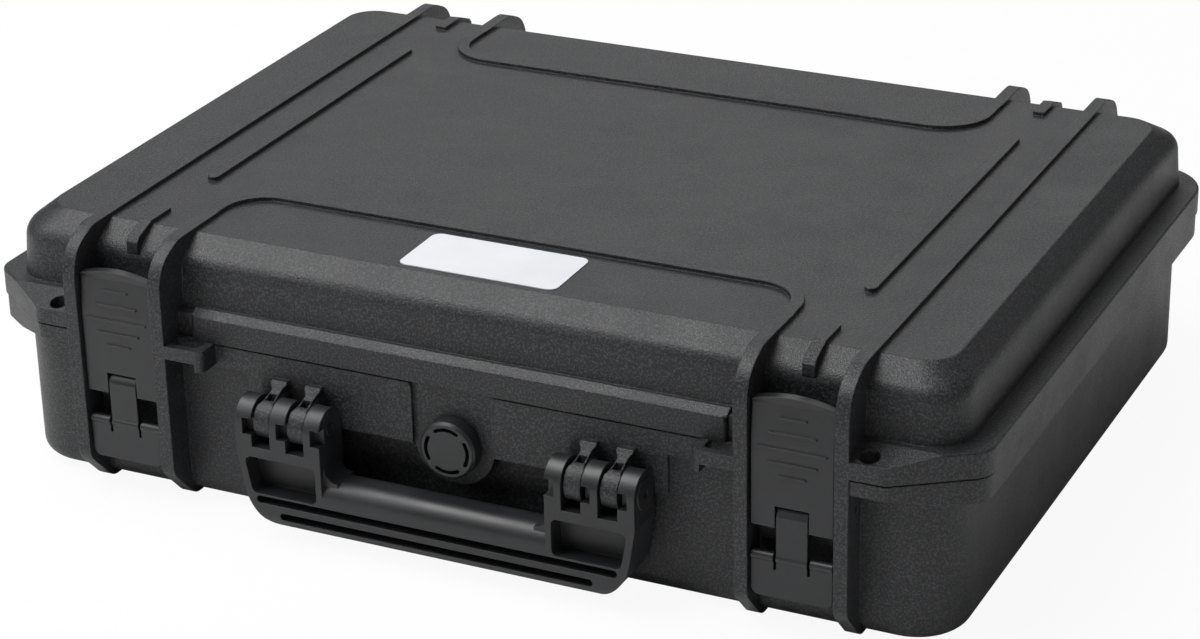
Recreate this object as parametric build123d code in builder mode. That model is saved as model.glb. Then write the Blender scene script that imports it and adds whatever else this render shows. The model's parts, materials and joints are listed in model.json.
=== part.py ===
from build123d import *
import math
import os

# Hard case for a laptop. Millimetres, +Z up, latches and handle towards -Y.
# Heights in the sketches are counted from the parting plane between lid and base,
# and depths from the middle of the shell.

# Shell
RIM_WIDTH = 502.0  # rim flange, side to side
RIM_DEPTH = 354.0  # rim flange, front to back, between the lugs
RIM_OVER_X = 11.5  # rim beyond the base wall at the sides
RIM_OVER_Y = 3.0  # rim beyond the base wall at front and back
RIM_STEP = 0.8  # base rim inside the lid rim
WALL_R = 26.0  # plan radius of the base walls
WALL = 4.0
BASE_DEPTH = 82.5
BASE_EDGE_R = 8.0  # rounding round the bottom
BASE_RIM = 12.2
SEAM_HIGH = 1.0  # groove under the parting plane
SEAM_DEEP = 0.8
FLOOR = 3.5
REAR_R = 30.0  # rear corners of the rim
SIDE_R = 12.0  # corners where the lug slope meets the sides
RIM_X = RIM_WIDTH / 2
RIM_Y = RIM_DEPTH / 2
BASE_FRONT = -RIM_Y + RIM_STEP
WALL_X = RIM_X - RIM_OVER_X
WALL_Y = RIM_Y - RIM_OVER_Y
IN_X = WALL_X - WALL
IN_Y = WALL_Y - WALL
IN_R = WALL_R - WALL

# Ribs, four at the front and four at the back
RIB_WIDTH = 6.6
RIB_REACH = 11.7  # ribs stand proud of the rim
BAY_IN = 80.95  # middle of each pair of ribs, inside the rim edge
BAY_WIDTH = 40.1
SKID = 2.4  # ribs stand proud of the base bottom
RIB_CHAMFER_Z = BASE_DEPTH - 15.5
RIB_CHAMFER = 17.0
RIB_CHAMFER_R = 10.0
PART_Z = BASE_DEPTH + SKID
RIB_Y = RIM_Y + RIB_REACH
BAY_X = RIM_X - BAY_IN
RIB_IN = BAY_X - BAY_WIDTH / 2 - RIB_WIDTH / 2
RIB_OUT = BAY_X + BAY_WIDTH / 2 + RIB_WIDTH / 2
RIB_XS = (-RIB_OUT, -RIB_IN, RIB_IN, RIB_OUT)

# Padlock lugs on the front corners
LUG_X = RIB_OUT + 19.6  # where the corner starts to slope back
LUG_SLOPE_Y = 14.0  # sloping corner meets the side this far behind the rim front
LUG_R = 6.0
LUG_HOLE_X = RIB_OUT + 10.6
LUG_HOLE_Y = 5.9  # hole behind the rib fronts
LUG_HOLE_R = 4.4
LUG_FACET_Y = 3.0  # slope of the lug tops starts behind the rim front
LUG_TOP = 7.8  # lug height at its front, above the parting plane
LUG_LOW = 7.6  # and below it

# Lid
LID_HEIGHT = 44.6
LID_WALL_TOP = 36.0
LID_DRAFT = 4.5
LID_IN_X = 9.8  # lid wall inside the rim edge, at the parting plane
LID_IN_Y = 5.8
LID_R = 21.0  # plan radius of the lid walls
LID_RIM = 12.4
RIM_EDGE_R = 1.2
RIM_NOTCH_X = 8.0  # rim set back beside the inner ribs, above the strap loops
RIM_NOTCH_Y = 2.5
LEDGE_IN = 1.0  # slope on the front rim, up to the wall
LEDGE_FLAT = 0.7
LEDGE_HIGH = 2.1
LID_WALL = 3.5
CROWN_IN_X = 23.0  # top face inside the rim edge
CROWN_IN_Y = 22.7
CROWN_R = 15.0
LID_EDGE_R = 9.0
CROWN_EDGE_R = 1.5
LID_X = RIM_X - LID_IN_X
LID_Y = RIM_Y - LID_IN_Y
LID_SHRINK = LID_WALL_TOP * math.tan(math.radians(LID_DRAFT))
CROWN_X = RIM_X - CROWN_IN_X
CROWN_Y = RIM_Y - CROWN_IN_Y
TOP_RIB = 2.0  # raised ribs on the top
TOP_RIB_WIDTH = 6.0
FRONT_CROSS_Y = RIM_Y - 69.0  # front edge of the front cross rib
BACK_CROSS_Y = RIM_Y - 76.5
CROSS_R = 20.0
LONG_RIB = RIM_DEPTH - 153.5
LONG_RIB_Y = 2.2
SHORT_RIB_Y = RIM_Y - 38.4
SHORT_RIB_END = 8.5  # end face inside the rim edge
SHORT_RIB_LOW = 34.5

# Label plate
PLATE_WIDTH = 80.0
PLATE_DEPTH = 38.0
PLATE_R = 4.5
PLATE_T = 0.8
PLATE_SINK = 0.4
PLATE_X = 1.2
PLATE_Y = -RIM_Y + 45.0
PLATE_GAP = 0.15

# Gasket groove in the lid, and the lip on the base that presses into it
GROOVE_OUT_X = RIM_X - 9.5
GROOVE_OUT_Y = RIM_Y - 4.0
GROOVE_WIDTH = 3.0
GROOVE_DEEP = 3.2
GROOVE_R = 22.0
LIP_HIGH = 1.2
LIP_GAP = 0.7

# Hinges
HINGE_Y = RIM_Y + 9.0  # axis, on the parting plane
HINGE_R = 5.5
HINGE_RELIEF = 0.5
PIN_R = 1.75
PIN_PROUD = 0.4
RUN_GAP = 0.08  # radial clearance of a running pin
KNUCKLE_GAP = 0.65  # beside the lid knuckle

# Strap loops inside the latch ribs
LOOP_WIDTH = 20.0
LOOP_HIGH = 6.5
LOOP_BAR = 4.2
LOOP_FOOT = 10.6  # end of each loop reaches lower
LOOP_R = 3.4
LOOP_SLOT_R = 2.5

# Front panels, valve column and finger pocket
PANEL_X = 107.0
PANEL_Z = 31.3
COLUMN_X = 20.3
COLUMN_BACK = 2.0  # column face behind the panels
COLUMN_FACE = BASE_FRONT + COLUMN_BACK
PANEL_R = 4.0
POCKET_X = 63.5
POCKET_Z = BASE_DEPTH - 10.5
POCKET_DEEP = 11.0  # behind the panels
POCKET_R = 8.0

# Valve
VALVE_Z = -29.0
VALVE_BORE_R = 6.0
CAP_R = 14.1
CAP_FACE = 7.9  # cap face in front of the column
CAP_PLATE = 3.0
CAP_WALL = 1.8
VENT_R = 10.6
VENT_WIDTH = 1.8
VENT_ARC = 60.0
SEAT_R = 9.0
SEAT_T = 2.0
SEAL_T = 1.0
MEMBRANE_T = 0.6
NUT_ACROSS = 17.0
NUT_T = 4.0

# Handle
HANDLE_Y = -RIM_Y - 11.0  # pivot axis
HANDLE_Z = -26.5
HANDLE_LUG_R = 10.5
HANDLE_BLOCK_X = 79.0  # middle of each end block
HANDLE_BLOCK_WIDTH = 44.0
HANDLE_LUG_WIDTH = 8.2
HANDLE_SHOULDER_Z = -41.0
HANDLE_LOW_X = HANDLE_BLOCK_X + HANDLE_BLOCK_WIDTH / 2 - 6.5
HANDLE_BOTTOM = -78.7
HANDLE_CORNER_R = 24.0
GRIP_TOP = -50.0
GRIP_R = 8.0
GUSSET_R = 7.0
PAD_R = 7.5
PAD_PROUD = 0.7
SLOT_FLOOR = -37.4
WINDOW_TOP = -42.6
WINDOW_BOTTOM = -61.0
WINDOW_DEEP = 10.0
WINDOW_WALL = 3.0
WINDOW_R = 3.0
GROOVES = ((-63.9, 92.0), (-71.0, 80.0))
GROOVE_HIGH = 3.8
GRIP_GROOVE_DEEP = 6.0
NOTCH_WIDTH = 4.6
NOTCH_TOP = -23.4
NOTCH_HIGH = 8.0
NOTCH_DEEP = 5.0
KNUCKLE_R = 9.2
KNUCKLE_SIDE = 0.8
NECK_WIDTH = 5.0
NECK_R = 3.2
HANDLE_PIN_R = 2.0
PIN_HEAD_R = 2.8
PIN_HEAD_T = 0.6
SHELL_Y = (HANDLE_LUG_R - HANDLE_Y - HINGE_Y - HINGE_R) / 2  # handle and hinges balance

# Latches: lever hinged on pin A in the base ribs, hook hinged on pin B in the lever
PIN_A_Y = -RIB_Y + 9.7
PIN_A_Z = -19.3
PIN_B_Y = -RIB_Y + 9.4
PIN_B_Z = -27.8
PIN_B_R = 1.25
LATCH_FACE = -RIB_Y + 2.2
LATCH_SIDE = 1.0  # beside the latch, in its bay
HOOK_T = 3.5
HOOK_BOTTOM = -31.3
HOOK_TOP = 28.6
HOOK_ARCH = 3.1
HOOK_LEAN_Z = 10.0
HOOK_LEAN = 1.6
RIDGES = ((21.4, 13.0), (14.2, 22.5), (6.9, 32.4), (0.3, 23.5), (-6.1, 13.3))
RIDGE_HIGH = 1.0
RIDGE_PROUD = 0.8
TONGUE_WIDTH = 14.5
TONGUE_T = 2.6
TONGUE_R = 7.4  # swept round pin B
TONGUE_GAP = 0.7
HOOK_NOTCH_TOP = -20.8
LEG_WIDTH = 5.0
LEG_R = 3.3
BOSS_R = 3.0
LEVER_TOP = -46.5
LEVER_BOTTOM = -65.7
LEVER_T = 4.0
LEVER_R = 4.0
BEAD_R = 2.3
RELIEF_WIDTH = 1.3
RELIEF_DEEP = 5.0
CATCH_FRONT = -RIB_Y + 8.7
CATCH_GAP = 0.3
CATCH_LOW = 13.0
CATCH_TOP = 24.0
NOSE_LOW = 18.5
NOSE_HIGH = 24.0

# Foam lining
FOAM_GAP = 1.0
PAD_T = 15.0
FRAME_TOP = -4.0
BAY_FOR_LAPTOP = (2 * IN_X - 81.0, 2 * IN_Y - 65.0)
LAPTOP_R = 12.0
LID_FOAM_LOW = 17.0

PART = Plane((0, SHELL_Y, PART_Z))


def side(x):
    """Plane across the case at x, drawn in depth and height."""
    return Plane(origin=(x, SHELL_Y, PART_Z), x_dir=(0, 1, 0), z_dir=(1, 0, 0))


def front(y):
    """Plane parallel to the front at depth y, drawn in width and height."""
    return Plane(origin=(0, SHELL_Y + y, PART_Z), x_dir=(1, 0, 0), z_dir=(0, -1, 0))


os.makedirs("parts", exist_ok=True)

# Outline of the rim, shared by lid and base
with BuildSketch(PART) as rim:
    with BuildLine():
        Polyline(
            (-RIM_X, RIM_Y),
            (RIM_X, RIM_Y),
            (RIM_X, -RIM_Y + LUG_SLOPE_Y),
            (LUG_X, -RIB_Y),
            (RIB_OUT, -RIB_Y),
            (RIB_OUT, -RIM_Y),
            (-RIB_OUT, -RIM_Y),
            (-RIB_OUT, -RIB_Y),
            (-LUG_X, -RIB_Y),
            (-RIM_X, -RIM_Y + LUG_SLOPE_Y),
            close=True,
        )
    make_face()
    fillet(rim.vertices().group_by(Axis.Y)[-1], REAR_R)
    slope_y = -RIM_Y + LUG_SLOPE_Y
    fillet(rim.vertices().filter_by_position(Axis.Y, slope_y - 1, slope_y + 1), SIDE_R)
    lug_front = rim.vertices().filter_by_position(Axis.Y, -RIB_Y - 1, -RIB_Y + 1)
    fillet([v for v in lug_front if abs(v.X) > LUG_X - 1], LUG_R)
with BuildSketch(PART) as base_rim:
    add(rim.sketch_local)
    offset(amount=-RIM_STEP)

# Base shell
with BuildPart() as base_shell:
    with BuildSketch(PART):
        RectangleRounded(2 * WALL_X, 2 * WALL_Y, WALL_R)
    extrude(amount=-BASE_DEPTH)
    fillet(base_shell.faces().sort_by(Axis.Z)[0].edges(), BASE_EDGE_R)
    extrude(base_rim.sketch, amount=-BASE_RIM)
    # lugs get thinner to the front
    with BuildSketch(*[side(x) for x in (-RIM_X, RIM_X)]):
        Polygon(
            (-WALL_Y, -BASE_RIM),
            (-RIB_Y, -LUG_LOW),
            (-RIB_Y - 1, -LUG_LOW),
            (-RIB_Y - 1, -BASE_RIM - 1),
            (-WALL_Y, -BASE_RIM - 1),
            align=None,
        )
    extrude(amount=RIM_X - RIB_OUT, both=True, mode=Mode.SUBTRACT)
    with BuildSketch(*[side(x) for x in RIB_XS]) as skid:
        Polygon(
            (-RIB_Y, 0),
            (-RIB_Y, -RIB_CHAMFER_Z),
            (-RIB_Y + RIB_CHAMFER, -PART_Z),
            (RIB_Y - RIB_CHAMFER, -PART_Z),
            (RIB_Y, -RIB_CHAMFER_Z),
            (RIB_Y, 0),
            align=None,
        )
        fillet(skid.vertices().filter_by(lambda v: v.Y < -1), RIB_CHAMFER_R)
    extrude(amount=RIB_WIDTH / 2, both=True)
    # front panels, and the column between them
    with BuildSketch(front(BASE_FRONT)):
        with Locations((0, -PANEL_Z / 2)):
            Rectangle(2 * PANEL_X, PANEL_Z)
    extrude(amount=-RIM_OVER_Y - 1)
    with BuildSketch(front(BASE_FRONT)):
        with Locations((0, -PANEL_R / 2)):
            Rectangle(2 * (COLUMN_X + PANEL_R), PANEL_R)
        with Locations((-COLUMN_X - PANEL_R, -PANEL_R), (COLUMN_X + PANEL_R, -PANEL_R)):
            Circle(PANEL_R, mode=Mode.SUBTRACT)
        with Locations((0, -PANEL_Z / 2 - 5)):
            Rectangle(2 * COLUMN_X, PANEL_Z + 10)
    extrude(amount=-COLUMN_BACK, mode=Mode.SUBTRACT)
    # groove along the parting plane, between the ribs
    with BuildSketch(PART):
        add(base_rim.sketch_local)
        offset(amount=-SEAM_DEEP, mode=Mode.SUBTRACT)
        with Locations(*[(x, 0) for x in RIB_XS]):
            Rectangle(RIB_WIDTH, 2 * RIB_Y + 2, mode=Mode.SUBTRACT)
    extrude(amount=-SEAM_HIGH, mode=Mode.SUBTRACT)
    # cavity
    with BuildSketch(PART):
        RectangleRounded(2 * IN_X, 2 * IN_Y, IN_R)
    extrude(amount=-(BASE_DEPTH - FLOOR), mode=Mode.SUBTRACT)
    # finger pocket behind the handle, with its own wall inside
    with BuildSketch(front(-WALL_Y + 1)):
        with Locations((0, -(PANEL_Z + BASE_DEPTH - FLOOR) / 2 + 2)):
            Rectangle(2 * (POCKET_X + WALL), BASE_DEPTH - FLOOR - PANEL_Z + 4)
    extrude(amount=-(POCKET_DEEP - RIM_OVER_Y + WALL - 1))
    with BuildSketch(front(-RIM_Y)):
        with Locations((0, -(PANEL_Z + POCKET_Z) / 2)):
            RectangleRounded(2 * POCKET_X, POCKET_Z - PANEL_Z, POCKET_R)
        with Locations((0, -PANEL_Z - POCKET_R / 2)):
            Rectangle(2 * POCKET_X, POCKET_R)
    extrude(amount=-POCKET_DEEP, mode=Mode.SUBTRACT)
    with BuildSketch(front(COLUMN_FACE)):
        with Locations((0, VALVE_Z)):
            Circle(COLUMN_X)
        with Locations((0, VALVE_Z + COLUMN_X / 2)):
            Rectangle(2 * COLUMN_X, COLUMN_X)
    extrude(amount=-(POCKET_DEEP - COLUMN_BACK + 1))
    with BuildSketch(front(COLUMN_FACE)):
        with Locations((0, VALVE_Z)):
            Circle(VALVE_BORE_R)
    extrude(amount=-40, mode=Mode.SUBTRACT)
    # lip for the gasket
    with BuildSketch(PART):
        out_x = GROOVE_OUT_X - LIP_GAP
        out_y = GROOVE_OUT_Y - LIP_GAP
        lip = GROOVE_WIDTH - 2 * LIP_GAP
        RectangleRounded(2 * out_x, 2 * out_y, GROOVE_R - LIP_GAP)
        RectangleRounded(
            2 * (out_x - lip), 2 * (out_y - lip), GROOVE_R - LIP_GAP - lip, mode=Mode.SUBTRACT
        )
    extrude(amount=LIP_HIGH)
    # strap loops, each with a longer foot at its inner end
    loop_out = RIB_IN - RIB_WIDTH / 2
    loop_end = loop_out - LOOP_WIDTH
    loop_mid = -(RIB_Y + WALL_Y) / 2
    with BuildSketch(PART):
        for way in (-1, 1):
            with Locations((way * (loop_out + loop_end) / 2, loop_mid)):
                Rectangle(LOOP_WIDTH, RIB_Y - WALL_Y)
    extrude(amount=-LOOP_HIGH)
    with BuildSketch(PART):
        for way in (-1, 1):
            with Locations((way * (loop_end + LOOP_BAR / 2), loop_mid)):
                Rectangle(LOOP_BAR, RIB_Y - WALL_Y)
    extrude(amount=-LOOP_FOOT)
    uprights = base_shell.edges().filter_by(Axis.Z)
    uprights = uprights.filter_by_position(Axis.Y, SHELL_Y - RIB_Y - 1, SHELL_Y - RIB_Y + 1)
    fillet([e for e in uprights if abs(abs(e.center().X) - loop_end) < 0.1], LOOP_R)
    with BuildSketch(PART) as slots:
        for way in (-1, 1):
            with Locations((way * (loop_end + LOOP_BAR + loop_out) / 2, 0)):
                with Locations((0, (LOOP_BAR - RIB_Y + BASE_FRONT) / 2)):
                    Rectangle(LOOP_WIDTH - LOOP_BAR, BASE_FRONT + RIB_Y - LOOP_BAR)
        ends = slots.vertices().filter_by(lambda v: abs(v.X) < loop_out - 1)
        fillet(ends, LOOP_SLOT_R)
    extrude(amount=-LOOP_HIGH, mode=Mode.SUBTRACT)
    # knuckles for the handle
    knuckle_width = (HANDLE_BLOCK_WIDTH - 3 * HANDLE_LUG_WIDTH) / 2 - 2 * KNUCKLE_SIDE
    knuckle_step = (HANDLE_BLOCK_WIDTH - HANDLE_LUG_WIDTH) / 4
    knuckle_xs = []
    for way in (-1, 1):
        for step in (-1, 1):
            knuckle_xs.append(way * HANDLE_BLOCK_X + step * knuckle_step)
    with BuildSketch(*[side(x) for x in knuckle_xs]):
        with Locations((HANDLE_Y, HANDLE_Z)):
            Circle(KNUCKLE_R)
        with BuildLine():
            Polyline(
                (HANDLE_Y, HANDLE_Z - 5.0),
                (BASE_FRONT + 1, HANDLE_Z - 4.0),
                (BASE_FRONT + 1, HANDLE_Z + 15.0),
                (-RIM_Y - 2, HANDLE_Z + 15.0),
                (-RIM_Y - 5, HANDLE_Z + 11.5),
                (HANDLE_Y, HANDLE_Z + KNUCKLE_R),
                close=True,
            )
        make_face()
    extrude(amount=knuckle_width / 2, both=True)
    with BuildSketch(front(BASE_FRONT)):
        for x in knuckle_xs:
            for way in (-1, 1):
                with Locations((x + way * (NECK_WIDTH / 2 + NECK_R), HANDLE_Z + KNUCKLE_R + 1.5)):
                    Circle(NECK_R)
    extrude(amount=2 * KNUCKLE_R, mode=Mode.SUBTRACT)
    with BuildSketch(*[side(x) for x in knuckle_xs]):
        with Locations((HANDLE_Y + 1.5, HANDLE_Z + KNUCKLE_R)):
            Rectangle(4.5, 5.0)
    extrude(amount=knuckle_width / 4, both=True, mode=Mode.SUBTRACT)
    with BuildSketch(*[side(x) for x in knuckle_xs]):
        with Locations((HANDLE_Y, HANDLE_Z)):
            Circle(HANDLE_PIN_R + RUN_GAP)
    extrude(amount=knuckle_width, both=True, mode=Mode.SUBTRACT)
    # hinge ears on the rear ribs
    with BuildSketch(*[side(x) for x in RIB_XS]):
        with Locations((HINGE_Y, 0)):
            Circle(HINGE_R)
    extrude(amount=RIB_WIDTH / 2, both=True)
    with BuildSketch(*[side(x) for x in RIB_XS]):
        with Locations((HINGE_Y, 0), (PIN_A_Y, PIN_A_Z)):
            Circle(PIN_R)
    extrude(amount=RIB_WIDTH, both=True, mode=Mode.SUBTRACT)
    # padlock holes
    with BuildSketch(PART):
        with Locations((-LUG_HOLE_X, LUG_HOLE_Y - RIB_Y), (LUG_HOLE_X, LUG_HOLE_Y - RIB_Y)):
            Circle(LUG_HOLE_R)
    extrude(amount=-BASE_RIM, mode=Mode.SUBTRACT)

# Lid shell
with BuildPart() as lid_shell:
    extrude(rim.sketch, amount=LID_RIM)
    top_edges = lid_shell.faces().sort_by(Axis.Z)[-1].edges()
    lug_back = SHELL_Y - RIM_Y
    fillet(top_edges.filter_by(lambda e: e.center().Y > lug_back - 14), RIM_EDGE_R)
    # lug tops slope down to the front
    facet_y = -RIM_Y + LUG_FACET_Y
    with BuildSketch(*[side(x) for x in (-RIM_X, RIM_X)]):
        Polygon(
            (facet_y, LID_RIM),
            (-RIB_Y, LUG_TOP),
            (-RIB_Y - 1, LUG_TOP),
            (-RIB_Y - 1, LID_RIM + 1),
            (facet_y, LID_RIM + 1),
            align=None,
        )
    extrude(amount=RIM_X - RIB_OUT, both=True, mode=Mode.SUBTRACT)
    # rim set back above the strap loops
    notch_out = RIB_IN - RIB_WIDTH / 2
    with BuildSketch(PART):
        for way in (-1, 1):
            with Locations((way * (notch_out - RIM_NOTCH_X / 2), -RIM_Y)):
                Rectangle(RIM_NOTCH_X, 2 * RIM_NOTCH_Y)
    extrude(amount=LID_RIM, mode=Mode.SUBTRACT)
    uprights = lid_shell.edges().filter_by(Axis.Z)
    uprights = uprights.filter_by_position(Axis.Y, SHELL_Y - RIM_Y - 0.1, SHELL_Y - RIM_Y + 0.1)
    notch_x = notch_out - RIM_NOTCH_X
    fillet([e for e in uprights if abs(abs(e.center().X) - notch_x) < 0.1], RIM_NOTCH_Y - 0.4)
    with BuildSketch(PART):
        RectangleRounded(2 * LID_X, 2 * LID_Y, LID_R)
    extrude(amount=LID_WALL_TOP, taper=LID_DRAFT)
    with BuildSketch(PART.offset(LID_WALL_TOP)):
        RectangleRounded(
            2 * (LID_X - LID_SHRINK), 2 * (LID_Y - LID_SHRINK), LID_R - LID_SHRINK
        )
    with BuildSketch(PART.offset(LID_HEIGHT)):
        RectangleRounded(2 * CROWN_X, 2 * CROWN_Y, CROWN_R)
    loft()
    # the front rim slopes up to the wall
    with BuildSketch(side(0)):
        Polygon(
            (-RIM_Y + LEDGE_IN, LID_RIM - 1),
            (-RIM_Y + LEDGE_IN, LID_RIM),
            (-LID_Y - LEDGE_FLAT, LID_RIM + LEDGE_HIGH),
            (-LID_Y + LID_WALL - 1, LID_RIM + LEDGE_HIGH),
            (-LID_Y + LID_WALL - 1, LID_RIM - 1),
            align=None,
        )
    extrude(amount=notch_x, both=True)
    level = PART_Z + LID_WALL_TOP
    fillet(lid_shell.edges().filter_by_position(Axis.Z, level - 0.1, level + 0.1), LID_EDGE_R)
    fillet(lid_shell.faces().sort_by(Axis.Z)[-1].edges(), CROWN_EDGE_R)
    # ribs, the outer pair right over the top
    rib_top = LID_HEIGHT + TOP_RIB
    shoulder = (
        (-RIB_Y, 24.0),
        (-RIB_Y + 1.2, 32.0),
        (-RIB_Y + 6.2, 40.2),
        (-RIB_Y + 15.0, 44.9),
        (-RIB_Y + 27.0, rib_top),
    )
    with BuildSketch(side(-RIB_OUT), side(RIB_OUT)):
        with BuildLine():
            Polyline((0, 0), (-RIB_Y, 0), shoulder[0])
            Spline(*shoulder, tangents=((0, 1), (1, 0)))
            Line(shoulder[-1], (0, rib_top))
            mirror(about=Plane.YZ)
        make_face()
    extrude(amount=RIB_WIDTH / 2, both=True)
    inner_front = -CROWN_Y + 20
    inner_back = CROWN_Y - 14
    with BuildSketch(side(-RIB_IN), side(RIB_IN)):
        with BuildLine():
            Polyline((inner_front, 0), (-RIB_Y, 0), shoulder[0])
            Spline(*shoulder, tangents=((0, 1), (1, 0)))
            Polyline(shoulder[-1], (inner_front, rib_top), (inner_front, 0))
        make_face()
        with BuildLine():
            back = [(-y, z) for y, z in shoulder]
            Polyline((inner_back, 0), (RIB_Y, 0), back[0])
            Spline(*back, tangents=((0, 1), (-1, 0)))
            Polyline(back[-1], (inner_back, rib_top), (inner_back, 0))
        make_face()
    extrude(amount=RIB_WIDTH / 2, both=True)
    # raised ribs on the top
    with BuildSketch(PART.offset(LID_HEIGHT + TOP_RIB)):
        outer_x = RIB_IN + TOP_RIB_WIDTH / 2
        for way, edge, end in (
            (-1, FRONT_CROSS_Y - TOP_RIB_WIDTH, -inner_front + 1),
            (1, BACK_CROSS_Y, inner_back + 1),
        ):
            high = 2 * (end - edge)
            with Locations((0, way * end)):
                RectangleRounded(2 * outer_x, high, CROSS_R + TOP_RIB_WIDTH)
                RectangleRounded(
                    2 * (outer_x - TOP_RIB_WIDTH),
                    high - 2 * TOP_RIB_WIDTH,
                    CROSS_R,
                    mode=Mode.SUBTRACT,
                )
            with Locations((0, way * (end + 50))):
                Rectangle(2 * RIM_X, 100, mode=Mode.SUBTRACT)
        with Locations((-BAY_X, LONG_RIB_Y), (BAY_X, LONG_RIB_Y)):
            SlotOverall(LONG_RIB, TOP_RIB_WIDTH, rotation=90)
    extrude(amount=-TOP_RIB - 1)
    short_front = (
        (-SHORT_RIB_Y, LID_HEIGHT - 4),
        (-SHORT_RIB_Y, LID_HEIGHT + TOP_RIB),
        (-CROWN_Y - 1, LID_HEIGHT + TOP_RIB),
        (-RIM_Y + SHORT_RIB_END + 2.0, SHORT_RIB_LOW + 8.0),
        (-RIM_Y + SHORT_RIB_END, SHORT_RIB_LOW + 5.5),
        (-RIM_Y + SHORT_RIB_END, SHORT_RIB_LOW),
        (-RIM_Y + SHORT_RIB_END + 6.0, SHORT_RIB_LOW),
    )
    with BuildSketch(side(-BAY_X), side(BAY_X)):
        Polygon(*short_front, align=None)
        Polygon(*[(-y, z) for y, z in short_front], align=None)
    extrude(amount=TOP_RIB_WIDTH / 2, both=True)
    # catches in the latch bays
    with BuildSketch(side(-BAY_X), side(BAY_X)):
        Polygon(
            (-LID_Y + 3, CATCH_LOW - 1),
            (-RIM_Y + 1, CATCH_LOW - 1),
            (CATCH_FRONT, CATCH_LOW + 3),
            (CATCH_FRONT, CATCH_TOP),
            (CATCH_FRONT + 3, CATCH_TOP),
            (CATCH_FRONT + 4, CATCH_TOP - 4),
            (-LID_Y + 3, CATCH_TOP - 4),
            align=None,
        )
    extrude(amount=BAY_WIDTH / 2, both=True)
    # cavity
    in_y = LID_Y - LID_WALL - 1.2
    in_x = LID_X - LID_WALL - 1.2
    inner_top = LID_WALL_TOP - 2.5
    inner_shrink = inner_top * math.tan(math.radians(LID_DRAFT))
    in_r = LID_R - LID_WALL
    with BuildSketch(PART):
        RectangleRounded(2 * in_x, 2 * in_y, in_r)
    extrude(amount=inner_top, taper=LID_DRAFT, mode=Mode.SUBTRACT)
    with BuildSketch(PART.offset(inner_top)):
        RectangleRounded(
            2 * (in_x - inner_shrink), 2 * (in_y - inner_shrink), in_r - inner_shrink
        )
    with BuildSketch(PART.offset(LID_HEIGHT - LID_WALL)):
        RectangleRounded(2 * (CROWN_X - 1.5), 2 * (CROWN_Y - 1.5), CROWN_R - 1.5)
    loft(mode=Mode.SUBTRACT)
    # gasket groove
    with BuildSketch(PART):
        RectangleRounded(2 * GROOVE_OUT_X, 2 * GROOVE_OUT_Y, GROOVE_R)
        RectangleRounded(
            2 * (GROOVE_OUT_X - GROOVE_WIDTH),
            2 * (GROOVE_OUT_Y - GROOVE_WIDTH),
            GROOVE_R - GROOVE_WIDTH,
            mode=Mode.SUBTRACT,
        )
    extrude(amount=GROOVE_DEEP, mode=Mode.SUBTRACT)
    # seat of the label plate
    with BuildSketch(PART.offset(LID_HEIGHT)):
        with Locations((PLATE_X, PLATE_Y)):
            RectangleRounded(
                PLATE_WIDTH + 2 * PLATE_GAP, PLATE_DEPTH + 2 * PLATE_GAP, PLATE_R + PLATE_GAP
            )
    extrude(amount=-PLATE_SINK, mode=Mode.SUBTRACT)
    # hinge: ribs cleared round the ears, knuckle between them
    with BuildSketch(*[side(x) for x in RIB_XS]):
        with Locations((HINGE_Y, 0)):
            Circle(HINGE_R + HINGE_RELIEF)
    extrude(amount=RIB_WIDTH / 2 + 0.3, both=True, mode=Mode.SUBTRACT)
    with BuildSketch(side(-BAY_X), side(BAY_X)):
        with Locations((HINGE_Y, 0)):
            Circle(HINGE_R)
        with BuildLine():
            Polyline(
                (RIM_Y - 1, 1.5),
                (HINGE_Y, 1.5),
                (HINGE_Y, HINGE_R),
                (RIM_Y - 1, LID_RIM - 2),
                close=True,
            )
        make_face()
        with Locations((HINGE_Y, 0)):
            Circle(PIN_R + RUN_GAP, mode=Mode.SUBTRACT)
    extrude(amount=BAY_WIDTH / 2 - KNUCKLE_GAP, both=True)
    # padlock holes
    with BuildSketch(PART):
        with Locations((-LUG_HOLE_X, LUG_HOLE_Y - RIB_Y), (LUG_HOLE_X, LUG_HOLE_Y - RIB_Y)):
            Circle(LUG_HOLE_R)
    extrude(amount=LID_RIM, mode=Mode.SUBTRACT)

# Gasket, held in the lid and pressed by the lip
with BuildPart() as lid_gasket:
    with BuildSketch(PART.offset(LIP_HIGH)):
        RectangleRounded(2 * GROOVE_OUT_X, 2 * GROOVE_OUT_Y, GROOVE_R)
        RectangleRounded(
            2 * (GROOVE_OUT_X - GROOVE_WIDTH),
            2 * (GROOVE_OUT_Y - GROOVE_WIDTH),
            GROOVE_R - GROOVE_WIDTH,
            mode=Mode.SUBTRACT,
        )
    extrude(amount=GROOVE_DEEP - LIP_HIGH)

# Label plate, bare
with BuildPart() as name_plate:
    with BuildSketch(PART.offset(LID_HEIGHT - PLATE_SINK)):
        with Locations((PLATE_X, PLATE_Y)):
            RectangleRounded(PLATE_WIDTH, PLATE_DEPTH, PLATE_R)
    extrude(amount=PLATE_T)

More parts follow.
